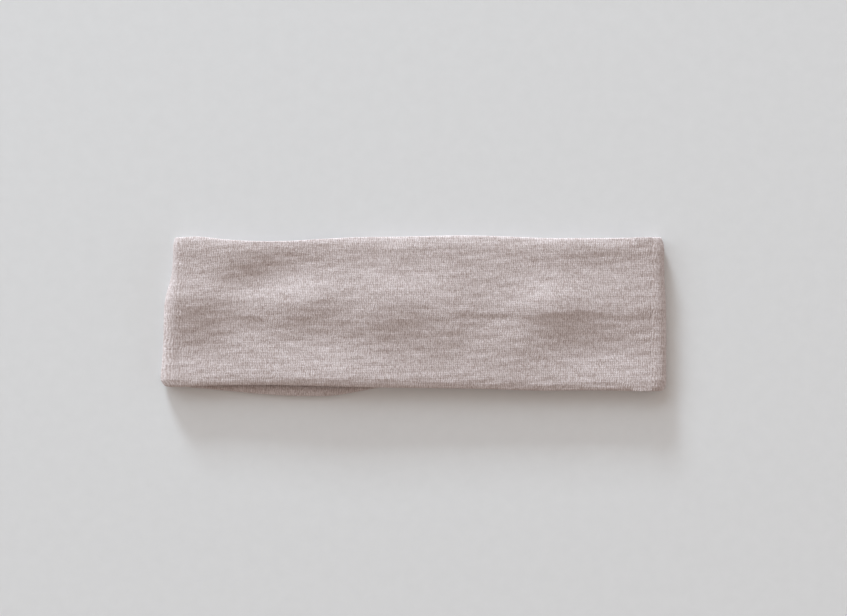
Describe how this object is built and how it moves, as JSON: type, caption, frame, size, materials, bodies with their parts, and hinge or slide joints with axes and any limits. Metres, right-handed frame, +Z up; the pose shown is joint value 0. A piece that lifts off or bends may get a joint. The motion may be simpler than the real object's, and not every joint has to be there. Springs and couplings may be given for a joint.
{
  "type": "spa headband",
  "caption": "Loop headband of double-layer cotton jersey, stored flat, that opens to a ring round the head.",
  "frame": {"origin": "middle of the underside of the band as it lies flat", "axes": "+X along the band, towards its closing seam; +Y across its width, away from the edge where the lower leg shows; +Z up"},
  "size_m": [0.2352, 0.0738, 0.0067],
  "materials": {
    "jersey": "matte",
    "thread": "matte"
  },
  "bodies": {
    "lower_1": {"lower_panel_1": "jersey", "lower_needle_thread_1": "thread", "lower_looper_threads_1": "thread", "left_fold": "jersey"},
    "lower_2": {"lower_panel_2": "jersey", "lower_needle_thread_2": "thread", "lower_looper_threads_2": "thread"},
    "lower_3": {"lower_panel_3": "jersey", "lower_needle_thread_3": "thread", "lower_looper_threads_3": "thread"},
    "lower_4": {"lower_panel_4": "jersey", "lower_needle_thread_4": "thread", "lower_looper_threads_4": "thread"},
    "lower_5": {"lower_panel_5": "jersey", "lower_needle_thread_5": "thread", "lower_looper_threads_5": "thread"},
    "lower_6": {"lower_panel_6": "jersey", "lower_needle_thread_6": "thread", "lower_looper_threads_6": "thread"},
    "lower_7": {"lower_panel_7": "jersey", "lower_needle_thread_7": "thread", "lower_looper_threads_7": "thread"},
    "lower_8": {"lower_panel_8": "jersey", "lower_needle_thread_8": "thread", "lower_looper_threads_8": "thread"},
    "lower_9": {"lower_panel_9": "jersey", "lower_needle_thread_9": "thread", "lower_looper_threads_9": "thread", "right_fold": "jersey"},
    "upper_1": {"upper_panel_1": "jersey", "upper_needle_thread_1": "thread", "upper_looper_threads_1": "thread"},
    "upper_2": {"upper_panel_2": "jersey", "upper_needle_thread_2": "thread", "upper_looper_threads_2": "thread"},
    "upper_3": {"upper_panel_3": "jersey", "upper_needle_thread_3": "thread", "upper_looper_threads_3": "thread"},
    "upper_4": {"upper_panel_4": "jersey", "upper_needle_thread_4": "thread", "upper_looper_threads_4": "thread"},
    "upper_5": {"upper_panel_5": "jersey", "upper_needle_thread_5": "thread", "upper_looper_threads_5": "thread"},
    "upper_6": {"upper_panel_6": "jersey", "upper_needle_thread_6": "thread", "upper_looper_threads_6": "thread"},
    "upper_7": {"upper_panel_7": "jersey", "upper_needle_thread_7": "thread", "upper_looper_threads_7": "thread"},
    "upper_8": {"upper_panel_8": "jersey", "upper_needle_thread_8": "thread", "upper_looper_threads_8": "thread"},
    "upper_9": {"upper_panel_9": "jersey", "upper_needle_thread_9": "thread", "upper_looper_threads_9": "thread"},
    "closing_end": {"closing_edge": "jersey", "closing_needle_thread": "thread", "closing_upper_looper": "thread", "closing_lower_looper": "thread"}
  },
  "joints": [
    {"name": "left_fold_opens", "type": "hinge", "parent": "lower_1", "child": "upper_1", "pos_m": [-0.1107, 0, 0.00335], "axis": [0, -1, 0], "range_deg": [0, 160], "deforming": ["left_fold"]},
    {"name": "lower_bend_4", "type": "hinge", "parent": "lower_5", "child": "lower_4", "pos_m": [-0.0123, 0, 0.00335], "axis": [0, 1, 0], "range_deg": [0, 20]},
    {"name": "lower_bend_3", "type": "hinge", "parent": "lower_4", "child": "lower_3", "pos_m": [-0.0369, 0, 0.00335], "axis": [0, 1, 0], "range_deg": [0, 20]},
    {"name": "lower_bend_2", "type": "hinge", "parent": "lower_3", "child": "lower_2", "pos_m": [-0.0615, 0, 0.00335], "axis": [0, 1, 0], "range_deg": [0, 20]},
    {"name": "lower_bend_1", "type": "hinge", "parent": "lower_2", "child": "lower_1", "pos_m": [-0.0861, 0, 0.00335], "axis": [0, 1, 0], "range_deg": [0, 20]},
    {"name": "upper_bend_1", "type": "hinge", "parent": "upper_1", "child": "upper_2", "pos_m": [-0.0861, 0, 0.00335], "axis": [0, 1, 0], "range_deg": [0, 20]},
    {"name": "upper_bend_2", "type": "hinge", "parent": "upper_2", "child": "upper_3", "pos_m": [-0.0615, 0, 0.00335], "axis": [0, 1, 0], "range_deg": [0, 20]},
    {"name": "upper_bend_3", "type": "hinge", "parent": "upper_3", "child": "upper_4", "pos_m": [-0.0369, 0, 0.00335], "axis": [0, 1, 0], "range_deg": [0, 20]},
    {"name": "upper_bend_4", "type": "hinge", "parent": "upper_4", "child": "upper_5", "pos_m": [-0.0123, 0, 0.00335], "axis": [0, 1, 0], "range_deg": [0, 20]},
    {"name": "upper_bend_5", "type": "hinge", "parent": "upper_5", "child": "upper_6", "pos_m": [0.0123, 0, 0.00335], "axis": [0, 1, 0], "range_deg": [0, 20]},
    {"name": "upper_bend_6", "type": "hinge", "parent": "upper_6", "child": "upper_7", "pos_m": [0.0369, 0, 0.00335], "axis": [0, 1, 0], "range_deg": [0, 20]},
    {"name": "upper_bend_7", "type": "hinge", "parent": "upper_7", "child": "upper_8", "pos_m": [0.0615, 0, 0.00335], "axis": [0, 1, 0], "range_deg": [0, 20]},
    {"name": "upper_bend_8", "type": "hinge", "parent": "upper_8", "child": "upper_9", "pos_m": [0.0861, 0, 0.00335], "axis": [0, 1, 0], "range_deg": [0, 20]},
    {"name": "lower_bend_5", "type": "hinge", "parent": "lower_5", "child": "lower_6", "pos_m": [0.0123, 0, 0.00335], "axis": [0, -1, 0], "range_deg": [0, 20]},
    {"name": "lower_bend_6", "type": "hinge", "parent": "lower_6", "child": "lower_7", "pos_m": [0.0369, 0, 0.00335], "axis": [0, -1, 0], "range_deg": [0, 20]},
    {"name": "lower_bend_7", "type": "hinge", "parent": "lower_7", "child": "lower_8", "pos_m": [0.0615, 0, 0.00335], "axis": [0, -1, 0], "range_deg": [0, 20]},
    {"name": "lower_bend_8", "type": "hinge", "parent": "lower_8", "child": "lower_9", "pos_m": [0.0861, 0, 0.00335], "axis": [0, -1, 0], "range_deg": [0, 20]},
    {"name": "right_fold_opens", "type": "hinge", "parent": "lower_9", "child": "closing_end", "pos_m": [0.1107, 0, 0.00335], "axis": [0, 1, 0], "range_deg": [0, 160], "deforming": ["right_fold"]}
  ],
  "couplings": [
    {"joint": "lower_bend_4", "follows": "left_fold_opens", "ratio": 0.125},
    {"joint": "lower_bend_3", "follows": "left_fold_opens", "ratio": 0.125},
    {"joint": "lower_bend_2", "follows": "left_fold_opens", "ratio": 0.125},
    {"joint": "lower_bend_1", "follows": "left_fold_opens", "ratio": 0.125},
    {"joint": "upper_bend_1", "follows": "left_fold_opens", "ratio": 0.125},
    {"joint": "upper_bend_2", "follows": "left_fold_opens", "ratio": 0.125},
    {"joint": "upper_bend_3", "follows": "left_fold_opens", "ratio": 0.125},
    {"joint": "upper_bend_4", "follows": "left_fold_opens", "ratio": 0.125},
    {"joint": "upper_bend_5", "follows": "left_fold_opens", "ratio": 0.125},
    {"joint": "upper_bend_6", "follows": "left_fold_opens", "ratio": 0.125},
    {"joint": "upper_bend_7", "follows": "left_fold_opens", "ratio": 0.125},
    {"joint": "upper_bend_8", "follows": "left_fold_opens", "ratio": 0.125},
    {"joint": "lower_bend_5", "follows": "left_fold_opens", "ratio": 0.125},
    {"joint": "lower_bend_6", "follows": "left_fold_opens", "ratio": 0.125},
    {"joint": "lower_bend_7", "follows": "left_fold_opens", "ratio": 0.125},
    {"joint": "lower_bend_8", "follows": "left_fold_opens", "ratio": 0.125},
    {"joint": "right_fold_opens", "follows": "left_fold_opens", "ratio": 1}
  ]
}
